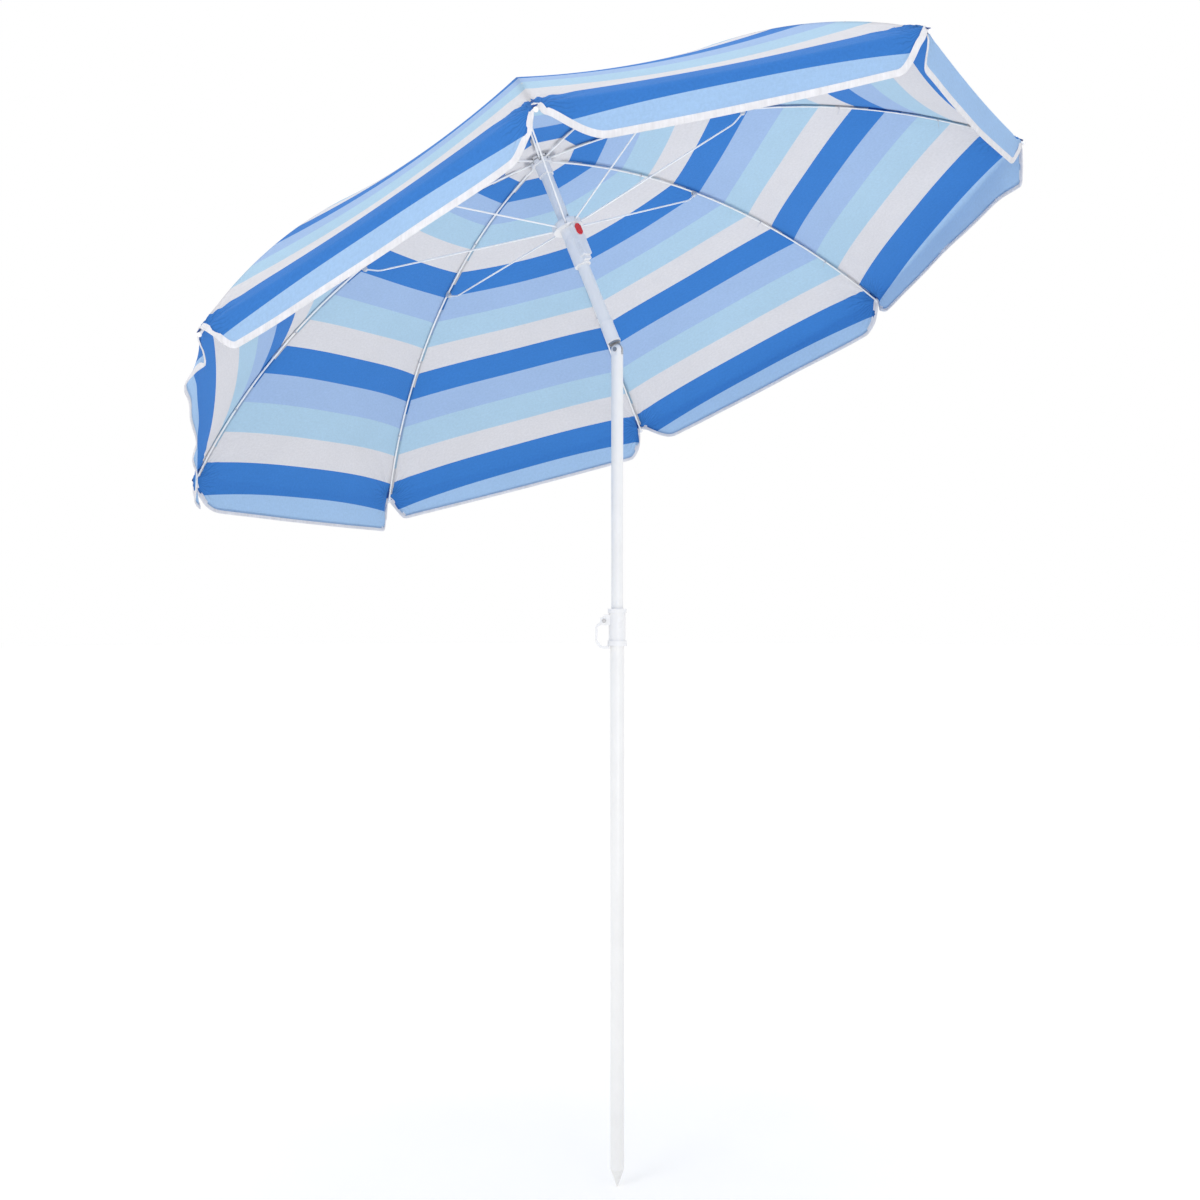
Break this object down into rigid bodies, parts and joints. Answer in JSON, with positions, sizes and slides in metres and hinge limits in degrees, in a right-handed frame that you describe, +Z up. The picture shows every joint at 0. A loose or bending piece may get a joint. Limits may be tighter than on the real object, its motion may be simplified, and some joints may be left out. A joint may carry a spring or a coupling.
{
  "type": "beach umbrella",
  "caption": "Striped beach umbrella with a spiked two-part pole, clamp lever, tilting upper pole, sliding runner, wire ribs and struts, and a canopy with hanging scallop flaps.",
  "frame": {"origin": "on the ground pole's axis, where its tube ends and the spike begins", "axes": "+Z up the ground pole; -X is the clamp lever's side, near the side the canopy leans to; -Y is the side seen in front"},
  "size_m": [1.6838, 1.7832, 2.1861],
  "materials": {
    "pole_paint": "white powder coat, satin",
    "white_plastic": "white moulded plastic, semi-gloss",
    "spike_plastic": "white moulded plastic, matt",
    "bare_steel": "zinc plated",
    "red_plastic": "red moulded plastic, gloss",
    "frame_paint": "white epoxy coat over spring wire",
    "bracket_steel": "white coat with bare rivet",
    "tip_plastic": "white moulded plastic",
    "canopy_cloth": "striped woven polyester, plain weave, in blues and white"
  },
  "bodies": {
    "ground_pole": {"ground_pole": "pole_paint", "spike_tip": "spike_plastic", "clamp_collar": "white_plastic", "lever_screw": "bare_steel"},
    "clamp_lever": {"clamp_lever": "white_plastic"},
    "middle_pole": {"middle_pole": "pole_paint", "pole_bush": "white_plastic", "tilt_fork": "white_plastic", "tilt_rivet": "bare_steel"},
    "upper_pole": {"upper_pole": "pole_paint", "tilt_tongue": "bare_steel", "crown": "white_plastic", "crown_ring": "bare_steel", "crown_patch": "canopy_cloth", "finial": "white_plastic", "stop_pin": "bare_steel"},
    "tilt_sleeve": {"tilt_sleeve": "white_plastic"},
    "runner": {"runner": "white_plastic", "runner_ring": "bare_steel"},
    "release_button": {"release_button": "red_plastic"},
    "rib_1": {"rib_1": "frame_paint", "rib_bracket_1": "bracket_steel", "rib_tip_1": "tip_plastic", "canopy_gore_1": "canopy_cloth"},
    "strut_1": {"strut_1": "frame_paint"},
    "rib_2": {"rib_2": "frame_paint", "rib_bracket_2": "bracket_steel", "rib_tip_2": "tip_plastic", "canopy_gore_2": "canopy_cloth"},
    "strut_2": {"strut_2": "frame_paint"},
    "rib_3": {"rib_3": "frame_paint", "rib_bracket_3": "bracket_steel", "rib_tip_3": "tip_plastic", "canopy_gore_3": "canopy_cloth"},
    "strut_3": {"strut_3": "frame_paint"},
    "rib_4": {"rib_4": "frame_paint", "rib_bracket_4": "bracket_steel", "rib_tip_4": "tip_plastic", "canopy_gore_4": "canopy_cloth"},
    "strut_4": {"strut_4": "frame_paint"},
    "rib_5": {"rib_5": "frame_paint", "rib_bracket_5": "bracket_steel", "rib_tip_5": "tip_plastic", "canopy_gore_5": "canopy_cloth"},
    "strut_5": {"strut_5": "frame_paint"},
    "rib_6": {"rib_6": "frame_paint", "rib_bracket_6": "bracket_steel", "rib_tip_6": "tip_plastic", "canopy_gore_6": "canopy_cloth"},
    "strut_6": {"strut_6": "frame_paint"},
    "rib_7": {"rib_7": "frame_paint", "rib_bracket_7": "bracket_steel", "rib_tip_7": "tip_plastic", "canopy_gore_7": "canopy_cloth"},
    "strut_7": {"strut_7": "frame_paint"},
    "rib_8": {"rib_8": "frame_paint", "rib_bracket_8": "bracket_steel", "rib_tip_8": "tip_plastic", "canopy_gore_8": "canopy_cloth"},
    "strut_8": {"strut_8": "frame_paint"}
  },
  "joints": [
    {"name": "height_slide", "type": "slide", "parent": "ground_pole", "child": "middle_pole", "axis": [0, 0, 1], "range_m": [-0.45, 0.1]},
    {"name": "clamp_lever_hinge", "type": "hinge", "parent": "ground_pole", "child": "clamp_lever", "pos_m": [-0.0265, 0, 1.1008], "axis": [0, 1, 0], "range_deg": [0, 100]},
    {"name": "tilt_hinge", "type": "hinge", "parent": "middle_pole", "child": "upper_pole", "pos_m": [0, 0, 1.6453], "axis": [-0.454, -0.891, 0], "range_deg": [-23.7, 0]},
    {"name": "tilt_sleeve_slide", "type": "slide", "parent": "upper_pole", "child": "tilt_sleeve", "axis": [-0.3581, 0.1825, 0.9157], "range_m": [-0.01, 0.008]},
    {"name": "runner_slide", "type": "slide", "parent": "upper_pole", "child": "runner", "axis": [0.3581, -0.1825, -0.9157], "range_m": [0, 0.12], "deforming": ["canopy_gore_1", "canopy_gore_2", "canopy_gore_3", "canopy_gore_4", "canopy_gore_5", "canopy_gore_6", "canopy_gore_7", "canopy_gore_8"]},
    {"name": "release_button_slide", "type": "slide", "parent": "runner", "child": "release_button", "axis": [-0.5775, 0.7273, -0.3708], "range_m": [0, 0.003], "stiffness_N_per_m": 600, "springref_m": -0.002},
    {"name": "rib_hinge_1", "type": "hinge", "parent": "upper_pole", "child": "rib_1", "pos_m": [-0.16934, 0.06868, 2.04372], "axis": [0.5775, -0.7273, 0.3708], "range_deg": [-0.5, 9.71]},
    {"name": "strut_hinge_1", "type": "hinge", "parent": "runner", "child": "strut_1", "pos_m": [-0.12134, 0.03387, 1.9007], "axis": [0.5775, -0.7273, 0.3708], "range_deg": [-8.88, 0.5]},
    {"name": "rib_hinge_2", "type": "hinge", "parent": "upper_pole", "child": "rib_2", "pos_m": [-0.17263, 0.08072, 2.04004], "axis": [-0.1105, -0.9821, 0.1525], "range_deg": [-0.5, 9.71]},
    {"name": "strut_hinge_2", "type": "hinge", "parent": "runner", "child": "strut_2", "pos_m": [-0.12656, 0.05299, 1.89485], "axis": [-0.1105, -0.9821, 0.1525], "range_deg": [-8.88, 0.5]},
    {"name": "rib_hinge_3", "type": "hinge", "parent": "upper_pole", "child": "rib_3", "pos_m": [-0.16668, 0.09229, 2.04006], "axis": [-0.7337, -0.6616, -0.1551], "range_deg": [-0.5, 9.71]},
    {"name": "strut_hinge_3", "type": "hinge", "parent": "runner", "child": "strut_3", "pos_m": [-0.11712, 0.07137, 1.89488], "axis": [-0.7337, -0.6616, -0.1551], "range_deg": [-8.88, 0.5]},
    {"name": "rib_hinge_4", "type": "hinge", "parent": "upper_pole", "child": "rib_4", "pos_m": [-0.15499, 0.09662, 2.04377], "axis": [-0.9271, 0.0465, -0.3719], "range_deg": [-0.5, 9.71]},
    {"name": "strut_hinge_4", "type": "hinge", "parent": "runner", "child": "strut_4", "pos_m": [-0.09855, 0.07825, 1.90077], "axis": [-0.9271, 0.0465, -0.3719], "range_deg": [-8.88, 0.5]},
    {"name": "rib_hinge_5", "type": "hinge", "parent": "upper_pole", "child": "rib_5", "pos_m": [-0.14439, 0.09117, 2.049], "axis": [-0.5775, 0.7273, -0.3708], "range_deg": [-0.5, 9.71]},
    {"name": "strut_hinge_5", "type": "hinge", "parent": "runner", "child": "strut_5", "pos_m": [-0.08172, 0.0696, 1.90908], "axis": [-0.5775, 0.7273, -0.3708], "range_deg": [-8.88, 0.5]},
    {"name": "rib_hinge_6", "type": "hinge", "parent": "upper_pole", "child": "rib_6", "pos_m": [-0.1411, 0.07914, 2.05268], "axis": [0.1105, 0.9821, -0.1525], "range_deg": [-0.5, 9.71]},
    {"name": "strut_hinge_6", "type": "hinge", "parent": "runner", "child": "strut_6", "pos_m": [-0.0765, 0.05048, 1.91493], "axis": [0.1105, 0.9821, -0.1525], "range_deg": [-8.88, 0.5]},
    {"name": "rib_hinge_7", "type": "hinge", "parent": "upper_pole", "child": "rib_7", "pos_m": [-0.14705, 0.06756, 2.05266], "axis": [0.7337, 0.6616, 0.1551], "range_deg": [-0.5, 9.71]},
    {"name": "strut_hinge_7", "type": "hinge", "parent": "runner", "child": "strut_7", "pos_m": [-0.08594, 0.03209, 1.9149], "axis": [0.7337, 0.6616, 0.1551], "range_deg": [-8.88, 0.5]},
    {"name": "rib_hinge_8", "type": "hinge", "parent": "upper_pole", "child": "rib_8", "pos_m": [-0.15874, 0.06323, 2.04895], "axis": [0.9271, -0.0465, 0.3719], "range_deg": [-0.5, 9.71]},
    {"name": "strut_hinge_8", "type": "hinge", "parent": "runner", "child": "strut_8", "pos_m": [-0.10451, 0.02522, 1.90901], "axis": [0.9271, -0.0465, 0.3719], "range_deg": [-8.88, 0.5]}
  ],
  "couplings": [
    {"joint": "rib_hinge_1", "follows": "runner_slide", "rad_per_m": 1.3388},
    {"joint": "strut_hinge_1", "follows": "runner_slide", "rad_per_m": -1.2188},
    {"joint": "rib_hinge_2", "follows": "runner_slide", "rad_per_m": 1.3388},
    {"joint": "strut_hinge_2", "follows": "runner_slide", "rad_per_m": -1.2188},
    {"joint": "rib_hinge_3", "follows": "runner_slide", "rad_per_m": 1.3388},
    {"joint": "strut_hinge_3", "follows": "runner_slide", "rad_per_m": -1.2188},
    {"joint": "rib_hinge_4", "follows": "runner_slide", "rad_per_m": 1.3388},
    {"joint": "strut_hinge_4", "follows": "runner_slide", "rad_per_m": -1.2188},
    {"joint": "rib_hinge_5", "follows": "runner_slide", "rad_per_m": 1.3388},
    {"joint": "strut_hinge_5", "follows": "runner_slide", "rad_per_m": -1.2188},
    {"joint": "rib_hinge_6", "follows": "runner_slide", "rad_per_m": 1.3388},
    {"joint": "strut_hinge_6", "follows": "runner_slide", "rad_per_m": -1.2188},
    {"joint": "rib_hinge_7", "follows": "runner_slide", "rad_per_m": 1.3388},
    {"joint": "strut_hinge_7", "follows": "runner_slide", "rad_per_m": -1.2188},
    {"joint": "rib_hinge_8", "follows": "runner_slide", "rad_per_m": 1.3388},
    {"joint": "strut_hinge_8", "follows": "runner_slide", "rad_per_m": -1.2188}
  ]
}
